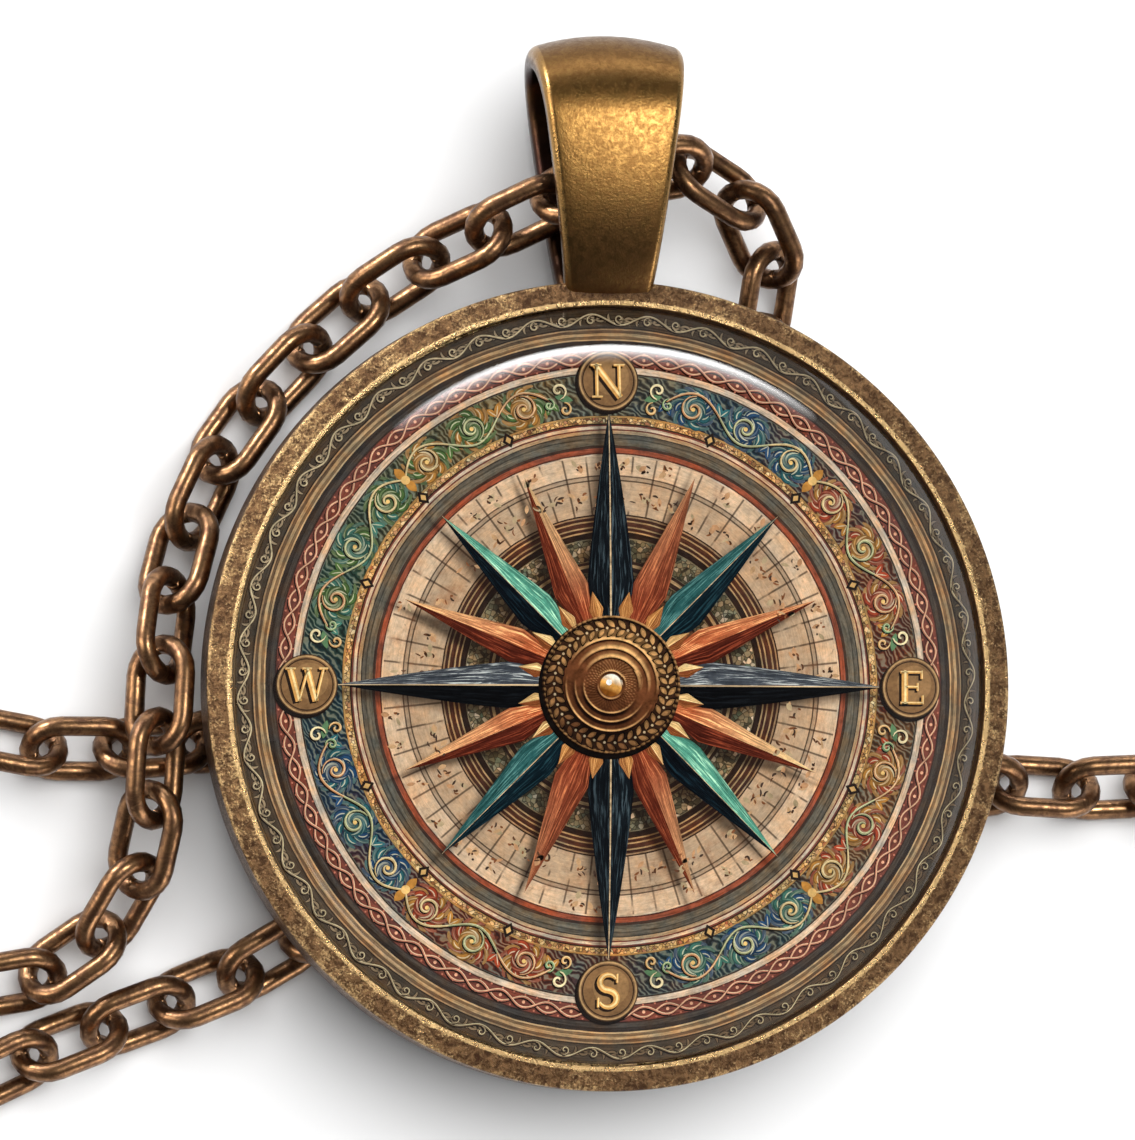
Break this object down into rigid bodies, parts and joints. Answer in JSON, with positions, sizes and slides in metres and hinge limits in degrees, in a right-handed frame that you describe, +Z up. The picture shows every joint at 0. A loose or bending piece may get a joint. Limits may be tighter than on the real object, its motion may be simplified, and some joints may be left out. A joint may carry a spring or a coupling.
{
  "type": "compass pendant necklace",
  "caption": "Round glass-domed compass pendant with a folded ribbon bail on a closed cable chain, antique bronze, laid out flat face up.",
  "frame": {"origin": "on the surface that the necklace lies on, in the middle of its bounding box", "axes": "+Z up, out of the glass; +Y towards the dial's north, the bail and the clasp; +X towards the dial's east"},
  "size_m": [0.1076, 0.1411, 0.0095],
  "materials": {
    "bezel_bronze": "antique bronze plating, mottled patina, rubbed edges",
    "dial_print": "printed compass rose in cream, bronze, teal, navy and rust",
    "dome_glass": "clear polished glass",
    "chain_bronze": "brown antique bronze plating, semi-gloss",
    "clasp_bronze": "brown antique bronze plating, semi-gloss"
  },
  "bodies": {
    "root": {"bezel": "bezel_bronze", "dial": "dial_print", "glass_dome": "dome_glass", "chain": "chain_bronze", "clasp": "clasp_bronze", "clasp_ring": "clasp_bronze", "end_ring": "clasp_bronze"}
  },
  "joints": []
}
